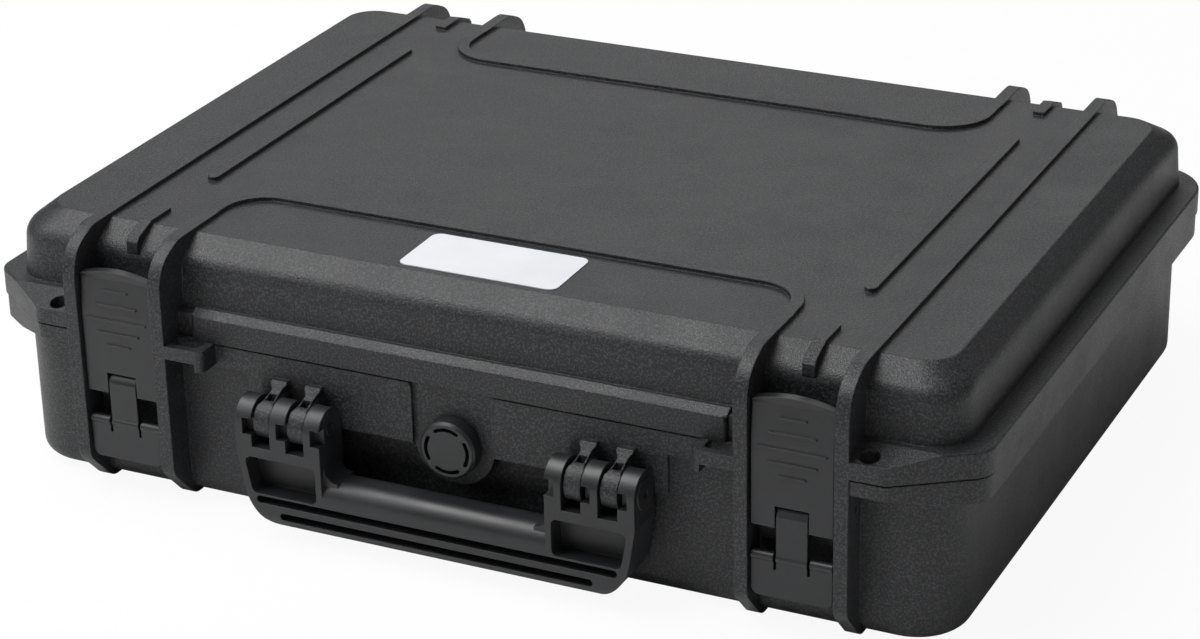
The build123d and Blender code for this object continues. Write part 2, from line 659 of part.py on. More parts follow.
# Hinge pins and latch lever pins, pressed into the base ribs
rib_span = BAY_WIDTH + 2 * RIB_WIDTH
with BuildPart() as hinge_pin_right:
    with BuildSketch(side(BAY_X)):
        with Locations((HINGE_Y, 0)):
            Circle(PIN_R)
    extrude(amount=rib_span / 2 + PIN_PROUD, both=True)
with BuildPart() as hinge_pin_left:
    with Locations((-2 * BAY_X, 0, 0)):
        add(hinge_pin_right.part)
with BuildPart() as lever_pin_right:
    with BuildSketch(side(BAY_X)):
        with Locations((PIN_A_Y, PIN_A_Z)):
            Circle(PIN_R)
    extrude(amount=rib_span / 2 + PIN_PROUD, both=True)
with BuildPart() as lever_pin_left:
    with Locations((-2 * BAY_X, 0, 0)):
        add(lever_pin_right.part)

# Latch lever
latch_half = BAY_WIDTH / 2 - LATCH_SIDE
with BuildPart() as latch_lever_right:
    with BuildSketch(side(BAY_X)):
        with BuildLine():
            Polyline(
                (LATCH_FACE, LEVER_BOTTOM),
                (LATCH_FACE, PIN_B_Z + 8),
                (LATCH_FACE + TONGUE_T, PIN_B_Z + 8),
                (LATCH_FACE + TONGUE_T, LEVER_BOTTOM),
                close=True,
            )
        make_face()
        with Locations((PIN_B_Y, PIN_B_Z)):
            Circle(TONGUE_R, mode=Mode.INTERSECT)
        with BuildLine():
            Polyline(
                (LATCH_FACE, LEVER_BOTTOM),
                (LATCH_FACE, PIN_B_Z + 1.5),
                (LATCH_FACE + TONGUE_T, PIN_B_Z + 1.5),
                (LATCH_FACE + TONGUE_T, LEVER_BOTTOM),
                close=True,
            )
        make_face()
        with BuildLine():
            Polyline(
                (LATCH_FACE + 1, PIN_B_Z - 5),
                (LATCH_FACE + 1, PIN_B_Z + 1.5),
                (PIN_B_Y, PIN_B_Z + BOSS_R - 0.5),
                (PIN_B_Y, PIN_B_Z - BOSS_R),
                close=True,
            )
        make_face()
        with BuildLine():
            Polyline(
                (PIN_B_Y - BOSS_R + 0.4, PIN_B_Z),
                (PIN_A_Y - BOSS_R + 0.4, PIN_A_Z),
                (PIN_A_Y + BOSS_R - 0.4, PIN_A_Z),
                (PIN_B_Y + BOSS_R - 0.4, PIN_B_Z),
                close=True,
            )
        make_face()
        with Locations((PIN_A_Y, PIN_A_Z), (PIN_B_Y, PIN_B_Z)):
            Circle(BOSS_R)
    extrude(amount=TONGUE_WIDTH / 2, both=True)
    with BuildSketch(front(LATCH_FACE)) as grip:
        with Locations((BAY_X, (LEVER_TOP + LEVER_BOTTOM) / 2)):
            Rectangle(2 * latch_half, LEVER_TOP - LEVER_BOTTOM)
        fillet(grip.vertices().group_by(Axis.Y)[0], LEVER_R)
    extrude(amount=-LEVER_T)
    with BuildSketch(side(BAY_X)):
        with Locations((LATCH_FACE + BEAD_R - 0.7, LEVER_TOP)):
            Circle(BEAD_R)
    extrude(amount=latch_half, both=True)
    # relief cuts beside the tongue
    with BuildSketch(front(LATCH_FACE - BEAD_R)):
        for way in (-1, 1):
            relief_x = BAY_X + way * (TONGUE_WIDTH + RELIEF_WIDTH) / 2
            with Locations((relief_x, LEVER_TOP + (BEAD_R - RELIEF_DEEP) / 2)):
                Rectangle(RELIEF_WIDTH, RELIEF_DEEP + BEAD_R + 1)
    extrude(amount=-LEVER_T - 2 * BEAD_R, mode=Mode.SUBTRACT)
    with BuildSketch(side(BAY_X)):
        with Locations((PIN_A_Y, PIN_A_Z)):
            Circle(PIN_R + RUN_GAP)
        with Locations((PIN_B_Y, PIN_B_Z)):
            Circle(PIN_B_R + RUN_GAP)
    extrude(amount=TONGUE_WIDTH, both=True, mode=Mode.SUBTRACT)
with BuildPart() as latch_lever_left:
    with Locations((-2 * BAY_X, 0, 0)):
        add(latch_lever_right.part)

# Latch hook: cover plate, two legs on pin B, nose in front of the lid's catch
leg_mid = TONGUE_WIDTH / 2 + TONGUE_GAP + LEG_WIDTH / 2
with BuildPart() as latch_hook_right:
    with BuildSketch(side(BAY_X)):
        hook_back = LATCH_FACE + HOOK_T
        Polygon(
            (LATCH_FACE, HOOK_BOTTOM),
            (LATCH_FACE, HOOK_LEAN_Z),
            (LATCH_FACE + HOOK_LEAN, HOOK_TOP - 2),
            (LATCH_FACE + 0.2, HOOK_TOP + 1),
            (LATCH_FACE + 0.2, HOOK_TOP + HOOK_ARCH + 1),
            (hook_back + HOOK_LEAN - 0.3, HOOK_TOP + HOOK_ARCH + 1),
            (hook_back + HOOK_LEAN - 0.3, HOOK_TOP - 2),
            (hook_back, HOOK_LEAN_Z),
            (hook_back, HOOK_BOTTOM),
            align=None,
        )
    extrude(amount=latch_half, both=True)
    with BuildSketch(front(LATCH_FACE - 1)):
        with BuildLine():
            ThreePointArc(
                (BAY_X - latch_half, HOOK_TOP),
                (BAY_X, HOOK_TOP + HOOK_ARCH),
                (BAY_X + latch_half, HOOK_TOP),
            )
            Polyline(
                (BAY_X + latch_half, HOOK_TOP),
                (BAY_X + latch_half, HOOK_BOTTOM),
                (BAY_X - latch_half, HOOK_BOTTOM),
                (BAY_X - latch_half, HOOK_TOP),
            )
        make_face()
    extrude(amount=-12, mode=Mode.INTERSECT)
    with BuildSketch(side(BAY_X)):
        Polygon(
            (hook_back - 0.5, NOSE_LOW),
            (CATCH_FRONT - CATCH_GAP, NOSE_LOW),
            (CATCH_FRONT - CATCH_GAP, NOSE_HIGH),
            (hook_back - 0.5, NOSE_HIGH),
            align=None,
        )
    extrude(amount=latch_half - 3, both=True)
    for ridge_z, ridge_length in RIDGES:
        lean = max(0.0, (ridge_z - HOOK_LEAN_Z) / (HOOK_TOP - 2 - HOOK_LEAN_Z)) * HOOK_LEAN
        with BuildSketch(front(LATCH_FACE + lean + 0.6)):
            with Locations((BAY_X, ridge_z)):
                SlotOverall(ridge_length, RIDGE_HIGH)
        extrude(amount=RIDGE_PROUD + 0.6)
    with BuildSketch(front(LATCH_FACE - 1)):
        with Locations((BAY_X, (HOOK_NOTCH_TOP + HOOK_BOTTOM - 2) / 2)):
            Rectangle(TONGUE_WIDTH + 2 * TONGUE_GAP, HOOK_NOTCH_TOP - HOOK_BOTTOM + 2)
    extrude(amount=-12, mode=Mode.SUBTRACT)
    with BuildSketch(side(BAY_X - leg_mid), side(BAY_X + leg_mid)):
        Polygon(
            (hook_back - 0.5, HOOK_BOTTOM + 0.3),
            (hook_back - 0.5, PIN_B_Z + LEG_R),
            (PIN_B_Y, PIN_B_Z + LEG_R),
            (PIN_B_Y, HOOK_BOTTOM + 0.3),
            align=None,
        )
        with Locations((PIN_B_Y, PIN_B_Z)):
            Circle(LEG_R)
            Circle(PIN_B_R, mode=Mode.SUBTRACT)
    extrude(amount=LEG_WIDTH / 2, both=True)
with BuildPart() as latch_hook_left:
    with Locations((-2 * BAY_X, 0, 0)):
        add(latch_hook_right.part)
with BuildPart() as hook_pin_right:
    with BuildSketch(side(BAY_X)):
        with Locations((PIN_B_Y, PIN_B_Z)):
            Circle(PIN_B_R)
    extrude(amount=leg_mid + LEG_WIDTH / 2, both=True)
with BuildPart() as hook_pin_left:
    with Locations((-2 * BAY_X, 0, 0)):
        add(hook_pin_right.part)

# Handle
block_in = HANDLE_BLOCK_X - HANDLE_BLOCK_WIDTH / 2
block_out = HANDLE_BLOCK_X + HANDLE_BLOCK_WIDTH / 2
handle_back = HANDLE_Y + HANDLE_LUG_R
handle_front = HANDLE_Y - HANDLE_LUG_R
lug_top = HANDLE_Z + HANDLE_LUG_R
slot_width = (HANDLE_BLOCK_WIDTH - 3 * HANDLE_LUG_WIDTH) / 2
with BuildPart() as handle:
    with BuildSketch(front(handle_back)) as outline:
        with BuildLine():
            Polyline(
                (-block_out, lug_top),
                (-block_out, HANDLE_SHOULDER_Z),
                (-HANDLE_LOW_X, HANDLE_BOTTOM),
                (HANDLE_LOW_X, HANDLE_BOTTOM),
                (block_out, HANDLE_SHOULDER_Z),
                (block_out, lug_top),
                close=True,
            )
        make_face()
        fillet(outline.vertices().group_by(Axis.Y)[0], HANDLE_CORNER_R)
        with Locations((0, (lug_top + HANDLE_BOTTOM) / 2)):
            Rectangle(2 * block_in, lug_top - HANDLE_BOTTOM, mode=Mode.SUBTRACT)
    extrude(amount=2 * HANDLE_LUG_R)
    with BuildSketch(side(-block_out - 1)) as lug_side:
        with Locations((HANDLE_Y, (HANDLE_Z + HANDLE_BOTTOM) / 2)):
            Rectangle(2 * HANDLE_LUG_R, HANDLE_Z - HANDLE_BOTTOM)
        fillet(lug_side.vertices().group_by(Axis.Y)[0], GRIP_R)
        with Locations((HANDLE_Y, HANDLE_Z)):
            Circle(HANDLE_LUG_R)
    extrude(amount=2 * block_out + 2, mode=Mode.INTERSECT)
    with BuildSketch(side(-block_in - 1)):
        with Locations((HANDLE_Y, (GRIP_TOP + HANDLE_BOTTOM) / 2)):
            RectangleRounded(2 * HANDLE_LUG_R, GRIP_TOP - HANDLE_BOTTOM, GRIP_R)
    extrude(amount=2 * block_in + 2)
    with BuildSketch(front(HANDLE_Y)):
        for way in (-1, 1):
            with Locations((way * (block_in - GUSSET_R / 2), GRIP_TOP + GUSSET_R / 2 - 1)):
                Rectangle(GUSSET_R, GUSSET_R + 2)
            with Locations((way * (block_in - GUSSET_R), GRIP_TOP + GUSSET_R)):
                Circle(GUSSET_R, mode=Mode.SUBTRACT)
    extrude(amount=HANDLE_LUG_R - 3, both=True)
    with BuildSketch(side(-block_out), side(block_out)):
        with Locations((HANDLE_Y, HANDLE_Z)):
            Circle(PAD_R)
    extrude(amount=PAD_PROUD, both=True)
    # slots for the knuckles
    with BuildSketch(front(handle_back)):
        for x in knuckle_xs:
            with Locations((x, (SLOT_FLOOR + lug_top + 1) / 2)):
                Rectangle(slot_width, lug_top + 1 - SLOT_FLOOR)
    extrude(amount=2 * HANDLE_LUG_R + 1, mode=Mode.SUBTRACT)
    # windows
    with BuildSketch(front(handle_front)) as windows:
        for way in (-1, 1):
            Polygon(
                (way * (block_in + WINDOW_WALL), WINDOW_TOP),
                (way * (block_out - WINDOW_WALL - 0.6), WINDOW_TOP),
                (way * (block_out - WINDOW_WALL - 4.2), WINDOW_BOTTOM),
                (way * (block_in + WINDOW_WALL), WINDOW_BOTTOM),
                align=None,
            )
        fillet(windows.vertices(), WINDOW_R)
    extrude(amount=-WINDOW_DEEP, mode=Mode.SUBTRACT)
    # grooves along the grip
    with BuildSketch(front(handle_front)):
        for groove_z, groove_half in GROOVES:
            with Locations((0, groove_z)):
                SlotOverall(2 * groove_half, GROOVE_HIGH)
    extrude(amount=-GRIP_GROOVE_DEEP, mode=Mode.SUBTRACT)
    # square notches in the lugs
    with BuildSketch(front(handle_front)):
        for way in (-1, 1):
            for step in range(3):
                inner = block_in + step * (HANDLE_LUG_WIDTH + slot_width)
                with Locations((way * (inner + NOTCH_WIDTH / 2), NOTCH_TOP - NOTCH_HIGH / 2)):
                    Rectangle(NOTCH_WIDTH, NOTCH_HIGH)
    extrude(amount=-NOTCH_DEEP, mode=Mode.SUBTRACT)
    with BuildSketch(side(-block_out - 1)):
        with Locations((HANDLE_Y, HANDLE_Z)):
            Circle(HANDLE_PIN_R)
    extrude(amount=2 * block_out + 2, mode=Mode.SUBTRACT)
with BuildPart() as handle_pin_right:
    with BuildSketch(side(HANDLE_BLOCK_X)):
        with Locations((HANDLE_Y, HANDLE_Z)):
            Circle(HANDLE_PIN_R)
    extrude(amount=HANDLE_BLOCK_WIDTH / 2, both=True)
    with BuildSketch(side(block_in)):
        with Locations((HANDLE_Y, HANDLE_Z)):
            Circle(PIN_HEAD_R)
    extrude(amount=-PIN_HEAD_T)
with BuildPart() as handle_pin_left:
    add(mirror(handle_pin_right.part, about=Plane.YZ, mode=Mode.PRIVATE))

# Pressure valve: body through the column, seal, membrane, nut inside, cap outside
with BuildPart() as valve_body:
    with BuildSketch(front(COLUMN_FACE - SEAL_T)):
        with Locations((0, VALVE_Z)):
            Circle(SEAT_R)
    extrude(amount=SEAT_T)
    stem_end = -RIM_Y + POCKET_DEEP + WALL + NUT_T + 1.5
    with BuildSketch(front(COLUMN_FACE - SEAL_T)):
        with Locations((0, VALVE_Z)):
            Circle(VALVE_BORE_R)
    extrude(amount=-(stem_end - COLUMN_FACE + SEAL_T))
    with BuildSketch(front(COLUMN_FACE - SEAL_T - SEAT_T)):
        with Locations((0, VALVE_Z)):
            Circle(VALVE_BORE_R - 2.2)
    extrude(amount=-60, mode=Mode.SUBTRACT)
with BuildPart() as valve_seal:
    with BuildSketch(front(COLUMN_FACE)):
        with Locations((0, VALVE_Z)):
            Circle(SEAT_R - 0.4)
            Circle(VALVE_BORE_R, mode=Mode.SUBTRACT)
    extrude(amount=SEAL_T)
with BuildPart() as valve_membrane:
    with BuildSketch(front(COLUMN_FACE - SEAL_T - SEAT_T)):
        with Locations((0, VALVE_Z)):
            Circle(VALVE_BORE_R - 0.6)
    extrude(amount=MEMBRANE_T)
with BuildPart() as valve_nut:
    with BuildSketch(front(-RIM_Y + POCKET_DEEP + WALL)):
        with Locations((0, VALVE_Z)):
            RegularPolygon(NUT_ACROSS / 2, 6, major_radius=False)
            Circle(VALVE_BORE_R, mode=Mode.SUBTRACT)
    extrude(amount=-NUT_T)
with BuildPart() as valve_cap:
    cap_back = COLUMN_FACE - 0.3
    with BuildSketch(front(cap_back)):
        with Locations((0, VALVE_Z)):
            Circle(CAP_R)
    extrude(amount=CAP_FACE - 0.3)
    chamfer(valve_cap.faces().sort_by(Axis.Y)[0].edges(), 1.3)
    with BuildSketch(front(cap_back)):
        with Locations((0, VALVE_Z)):
            Circle(CAP_R - CAP_WALL)
            Circle(SEAT_R + 0.0, mode=Mode.SUBTRACT)
    extrude(amount=CAP_FACE - 0.3 - CAP_PLATE, mode=Mode.SUBTRACT)
    with BuildSketch(front(cap_back)):
        with Locations((0, VALVE_Z)):
            Circle(SEAT_R)
    extrude(amount=SEAL_T + SEAT_T - 0.3, mode=Mode.SUBTRACT)
    with BuildSketch(front(cap_back)):
        with Locations((0, VALVE_Z)):
            Circle(VALVE_BORE_R + 0.4)
    extrude(amount=CAP_FACE - 0.3 - CAP_PLATE, mode=Mode.SUBTRACT)
    with BuildSketch(front(COLUMN_FACE - CAP_FACE)):
        with Locations((0, VALVE_Z)):
            for turn in range(4):
                with BuildLine(mode=Mode.PRIVATE) as vent:
                    CenterArc((0, 0), VENT_R, 90 * turn - VENT_ARC / 2, VENT_ARC)
                SlotArc(vent.edges()[0], VENT_WIDTH)
    extrude(amount=-CAP_PLATE, mode=Mode.SUBTRACT)

# Foam lining
floor_z = -(BASE_DEPTH - FLOOR)
with BuildPart() as base_foam_pad:
    with BuildSketch(PART.offset(floor_z)):
        RectangleRounded(2 * (IN_X - FOAM_GAP), 2 * (IN_Y - FOAM_GAP), IN_R - FOAM_GAP)
        with Locations((0, -IN_Y)):
            Rectangle(
                2 * (POCKET_X + WALL + FOAM_GAP),
                2 * (POCKET_DEEP - RIM_OVER_Y + FOAM_GAP),
                mode=Mode.SUBTRACT,
            )
    extrude(amount=PAD_T)
with BuildPart() as base_foam_frame:
    with BuildSketch(PART.offset(floor_z + PAD_T)):
        RectangleRounded(2 * (IN_X - FOAM_GAP), 2 * (IN_Y - FOAM_GAP), IN_R - FOAM_GAP)
        RectangleRounded(*BAY_FOR_LAPTOP, LAPTOP_R, mode=Mode.SUBTRACT)
        with Locations((0, -IN_Y)):
            Rectangle(
                2 * (POCKET_X + WALL + FOAM_GAP),
                2 * (POCKET_DEEP - RIM_OVER_Y + NUT_T + 3.5),
                mode=Mode.SUBTRACT,
            )
    extrude(amount=FRAME_TOP - floor_z - PAD_T)
with BuildPart() as lid_foam:
    foam_top = LID_HEIGHT - LID_WALL
    with BuildSketch(PART.offset(foam_top)):
        RectangleRounded(2 * (CROWN_X - 3), 2 * (CROWN_Y - 3), CROWN_R - 3)
    extrude(amount=LID_FOAM_LOW - foam_top)

parts = {
    "base_shell": base_shell,
    "lid_shell": lid_shell,
    "lid_gasket": lid_gasket,
    "name_plate": name_plate,
    "hinge_pin_left": hinge_pin_left,
    "hinge_pin_right": hinge_pin_right,
    "lever_pin_left": lever_pin_left,
    "lever_pin_right": lever_pin_right,
    "latch_lever_left": latch_lever_left,
    "latch_lever_right": latch_lever_right,
    "latch_hook_left": latch_hook_left,
    "latch_hook_right": latch_hook_right,
    "hook_pin_left": hook_pin_left,
    "hook_pin_right": hook_pin_right,
    "handle": handle,
    "handle_pin_left": handle_pin_left,
    "handle_pin_right": handle_pin_right,
    "valve_body": valve_body,
    "valve_seal": valve_seal,
    "valve_membrane": valve_membrane,
    "valve_nut": valve_nut,
    "valve_cap": valve_cap,
    "base_foam_pad": base_foam_pad,
    "base_foam_frame": base_foam_frame,
    "lid_foam": lid_foam,
}
for name, piece in parts.items():
    piece.part.label = name
    export_step(piece.part, f"parts/{name}.step")
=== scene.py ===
import json
import logging
import math
from dataclasses import dataclass
from enum import Enum
from typing import Any

import bmesh
import bpy
from mathutils import Matrix, Vector, noise

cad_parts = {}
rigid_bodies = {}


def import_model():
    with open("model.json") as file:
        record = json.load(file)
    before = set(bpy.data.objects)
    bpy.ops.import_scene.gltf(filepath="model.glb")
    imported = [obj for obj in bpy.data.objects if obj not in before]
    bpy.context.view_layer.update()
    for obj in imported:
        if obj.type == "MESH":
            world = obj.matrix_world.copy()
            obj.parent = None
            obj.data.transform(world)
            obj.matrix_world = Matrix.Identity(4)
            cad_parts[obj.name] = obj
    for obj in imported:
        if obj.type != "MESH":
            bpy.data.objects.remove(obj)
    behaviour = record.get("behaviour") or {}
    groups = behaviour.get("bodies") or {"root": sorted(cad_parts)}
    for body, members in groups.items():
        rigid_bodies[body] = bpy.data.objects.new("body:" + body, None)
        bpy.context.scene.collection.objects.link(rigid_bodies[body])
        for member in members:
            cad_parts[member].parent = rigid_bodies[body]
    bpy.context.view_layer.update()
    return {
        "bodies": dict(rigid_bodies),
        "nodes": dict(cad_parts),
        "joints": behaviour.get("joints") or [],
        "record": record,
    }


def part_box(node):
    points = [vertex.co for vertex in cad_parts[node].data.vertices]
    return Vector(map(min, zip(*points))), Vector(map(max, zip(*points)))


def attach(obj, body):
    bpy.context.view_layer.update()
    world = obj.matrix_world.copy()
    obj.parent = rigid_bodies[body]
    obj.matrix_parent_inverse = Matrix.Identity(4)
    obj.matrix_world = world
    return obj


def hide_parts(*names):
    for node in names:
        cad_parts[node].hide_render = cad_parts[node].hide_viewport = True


LOG = logging.getLogger("laptop_case")
MM = 0.001

Colour = tuple[float, float, float, float]


def linear(hex_colour: str) -> Colour:
    """Turns an sRGB hex colour into the linear colour that shaders take.

    Args:
        hex_colour: six hex digits, with or without a leading hash.

    Returns:
        Linear red, green, blue and an alpha of 1.
    """
    digits = hex_colour.lstrip("#")
    parts = [int(digits[i : i + 2], 16) / 255 for i in (0, 2, 4)]
    bent = [c / 12.92 if c <= 0.04045 else ((c + 0.055) / 1.055) ** 2.4 for c in parts]
    return (bent[0], bent[1], bent[2], 1.0)


def per_metre(size_mm: float) -> float:
    """Gives the texture scale at which one cell is size_mm across.

    Args:
        size_mm: width of a grain, cell or thread in millimetres.

    Returns:
        Scale for a texture in object coordinates, which are in metres.
    """
    return 1000.0 / size_mm


def node(
    tree: bpy.types.NodeTree,
    kind: str,
    settings: dict[str, Any] | None = None,
    links: dict[str, bpy.types.NodeSocket] | None = None,
) -> bpy.types.Node:
    """Adds one shader node.

    Args:
        tree: the node tree to add to.
        kind: Blender's name of the node type.
        settings: values by name, for the node's own settings or its input sockets.
        links: output sockets by the name or number of the input that each feeds.

    Returns:
        The new node.
    """
    made = tree.nodes.new(kind)
    for name, value in (settings or {}).items():
        if hasattr(made, name):
            setattr(made, name, value)
        elif name.isdigit():
            made.inputs[int(name)].default_value = value
        else:
            made.inputs[name].default_value = value
    for name, source in (links or {}).items():
        target = made.inputs[int(name)] if name.isdigit() else made.inputs[name]
        tree.links.new(source, target)
    return made


def blank_material(name: str) -> tuple[bpy.types.Material, bpy.types.NodeTree]:
    """Makes a material with an empty node tree.

    Args:
        name: the material's name.

    Returns:
        The material and its tree.
    """
    material = bpy.data.materials.new(name)
    material.use_nodes = True
    material.node_tree.nodes.clear()
    return material, material.node_tree


def ramp(
    tree: bpy.types.NodeTree,
    source: bpy.types.NodeSocket,
    low: float,
    high: float,
    to_low: float = 0.0,
    to_high: float = 1.0,
) -> bpy.types.NodeSocket:
    """Maps a value from one range to another, held at the ends.

    Args:
        tree: the node tree.
        source: the value to map.
        low: value that gives to_low.
        high: value that gives to_high.
        to_low: result at low.
        to_high: result at high.

    Returns:
        The mapped value.
    """
    mapped = node(
        tree,
        "ShaderNodeMapRange",
        {"1": low, "2": high, "3": to_low, "4": to_high, "clamp": True},
        {"0": source},
    )
    return mapped.outputs[0]


def mix_colour(
    tree: bpy.types.NodeTree,
    factor: bpy.types.NodeSocket,
    first: Colour | bpy.types.NodeSocket,
    second: Colour | bpy.types.NodeSocket,
) -> bpy.types.NodeSocket:
    """Blends two colours by a factor.

    Args:
        tree: the node tree.
        factor: 0 gives the first colour and 1 the second.
        first: a colour or a socket.
        second: a colour or a socket.

    Returns:
        The blended colour.
    """
    settings: dict[str, Any] = {"data_type": "RGBA"}
    links: dict[str, bpy.types.NodeSocket] = {"0": factor}
    for slot, value in (("6", first), ("7", second)):
        if isinstance(value, tuple):
            settings[slot] = value
        else:
            links[slot] = value
    return node(tree, "ShaderNodeMix", settings, links).outputs[2]


class Grain(Enum):
    """Kinds of moulded surface, by the width of one grain in millimetres."""

    PEBBLED = 0.55
    SATIN = 0.6


@dataclass(frozen=True)
class TexturedPolypropylene:
    """Black polypropylene copolymer, injection moulded in a spark-eroded tool."""

    name: str = "textured_black_polypropylene"
    dark: str = "161719"
    pale: str = "1d1e20"
    # pale colour of the painted highlight speckle on the pebble tops
    glint_colour: str = "404144"
    grain: Grain = Grain.PEBBLED
    relief_mm: float = 0.2
    roughness: float = 0.42
    edge_mm: float = 0.9
    cell_share: float = 1.3
    tops_share: float = 1.9
    cloud_mm: float = 38.0

    def build(self) -> bpy.types.Material:
        """Makes the material.

        Returns:
            The finished material.
        """
        material, tree = blank_material(self.name)
        place = node(tree, "ShaderNodeTexCoord").outputs["Object"]
        # The eroded tool leaves pebbles half a millimetre across: they break up every
        # highlight into speckles, which is what tells this surface from smooth plastic.
        pebble = node(
            tree,
            "ShaderNodeTexNoise",
            {"Scale": per_metre(self.grain.value), "Detail": 4.0, "Roughness": 0.65},
            {"Vector": place},
        ).outputs["Fac"]
        cells = node(
            tree,
            "ShaderNodeTexVoronoi",
            {"Scale": per_metre(self.grain.value * self.cell_share), "feature": "SMOOTH_F1"},
            {"Vector": place},
        ).outputs["Distance"]
        # Flow of the melt leaves broad, weak clouds of gloss, a few centimetres long.
        cloud = node(
            tree,
            "ShaderNodeTexNoise",
            {"Scale": per_metre(self.cloud_mm), "Detail": 4.0, "Roughness": 0.6},
            {"Vector": place},
        ).outputs["Fac"]
        height = node(
            tree, "ShaderNodeMath", {"operation": "ADD"}, {"0": pebble, "1": cells}
        ).outputs[0]
        round_edge = node(
            tree, "ShaderNodeBevel", {"samples": 4, "Radius": self.edge_mm * MM}
        ).outputs["Normal"]
        bump = node(
            tree,
            "ShaderNodeBump",
            {"Strength": 0.75, "Distance": self.relief_mm * MM},
            {"Height": height, "Normal": round_edge},
        ).outputs["Normal"]
        tint = mix_colour(
            tree, ramp(tree, cloud, 0.35, 0.65), linear(self.dark), linear(self.pale)
        )
        # Painted highlight: the tops of the pebbles are drawn paler, as a painted glint where light
        # catches them.
        # They are drawn here at nearly twice their size, so that the speckle shows in the render.
        tops = node(
            tree,
            "ShaderNodeTexNoise",
            {"Scale": per_metre(self.grain.value * self.tops_share), "Detail": 2.0, "Roughness": 0.7},
            {"Vector": place},
        ).outputs["Fac"]
        # mask of the painted highlight speckle on the pebble tops
        glint_mask = ramp(tree, tops, 0.48, 0.64, 0.0, 1.0)
        colour = mix_colour(tree, glint_mask, tint, linear(self.glint_colour))
        gloss = ramp(tree, cloud, 0.3, 0.7, self.roughness - 0.05, self.roughness + 0.07)
        shader = node(
            tree,
            "ShaderNodeBsdfPrincipled",
            {"IOR": 1.49, "Specular IOR Level": 0.5},
            {"Base Color": colour, "Roughness": gloss, "Normal": bump},
        )
        node(tree, "ShaderNodeOutputMaterial", {}, {"Surface": shader.outputs[0]})
        return material


@dataclass(frozen=True)
class MouldedNylon:
    """Glass-filled black nylon, moulded in a satin tool: latches, handle, valve."""

    name: str = "satin_black_nylon"
    dark: str = "1c1d1f"
    pale: str = "232427"
    grain: Grain = Grain.SATIN
    relief_mm: float = 0.03
    roughness: float = 0.38
    edge_mm: float = 0.6

    def build(self) -> bpy.types.Material:
        """Makes the material.

        Returns:
            The finished material.
        """
        material, tree = blank_material(self.name)
        place = node(tree, "ShaderNodeTexCoord").outputs["Object"]
        # Glass fibres float to the skin and give a faint, fine sparkle over soft gloss.
        grit = node(
            tree,
            "ShaderNodeTexNoise",
            {"Scale": per_metre(self.grain.value), "Detail": 2.0},
            {"Vector": place},
        ).outputs["Fac"]
        cloud = node(
            tree,
            "ShaderNodeTexNoise",
            {"Scale": per_metre(22.0), "Detail": 3.0},
            {"Vector": place},
        ).outputs["Fac"]
        round_edge = node(
            tree, "ShaderNodeBevel", {"samples": 4, "Radius": self.edge_mm * MM}
        ).outputs["Normal"]
        bump = node(
            tree,
            "ShaderNodeBump",
            {"Strength": 0.5, "Distance": self.relief_mm * MM},
            {"Height": grit, "Normal": round_edge},
        ).outputs["Normal"]
        colour = mix_colour(
            tree, ramp(tree, cloud, 0.35, 0.65), linear(self.dark), linear(self.pale)
        )
        gloss = ramp(tree, cloud, 0.3, 0.7, self.roughness - 0.04, self.roughness + 0.05)
        shader = node(
            tree,
            "ShaderNodeBsdfPrincipled",
            {"IOR": 1.53},
            {"Base Color": colour, "Roughness": gloss, "Normal": bump},
        )
        node(tree, "ShaderNodeOutputMaterial", {}, {"Surface": shader.outputs[0]})
        return material


@dataclass(frozen=True)
class BlackenedSteel:
    """Steel rod, drawn and blackened: hinge, latch and handle pins."""

    name: str = "blackened_drawn_steel"
    base: str = "6a6a6c"
    roughness: float = 0.34
    line_mm: float = 0.25

    def build(self) -> bpy.types.Material:
        """Makes the material.

        Returns:
            The finished material.
        """
        material, tree = blank_material(self.name)
        place = node(tree, "ShaderNodeTexCoord").outputs["Object"]
        # Drawing leaves fine lines along the rod, which stretch its highlight.
        stretched = node(
            tree,
            "ShaderNodeMapping",
            {"vector_type": "TEXTURE", "3": (20.0, 1.0, 1.0)},
            {"Vector": place},
        ).outputs[0]
        lines = node(
            tree,
            "ShaderNodeTexNoise",
            {"Scale": per_metre(self.line_mm), "Detail": 2.0},
            {"Vector": stretched},
        ).outputs["Fac"]
        bump = node(
            tree,
            "ShaderNodeBump",
            {"Strength": 0.3, "Distance": 0.01 * MM},
            {"Height": lines},
        ).outputs["Normal"]
        gloss = ramp(tree, lines, 0.3, 0.7, self.roughness - 0.06, self.roughness + 0.1)
        shader = node(
            tree,
            "ShaderNodeBsdfPrincipled",
            {"Base Color": linear(self.base), "Metallic": 1.0},
            {
                "Roughness": gloss,
                "Normal": bump,
            },
        )
        node(tree, "ShaderNodeOutputMaterial", {}, {"Surface": shader.outputs[0]})
        return material


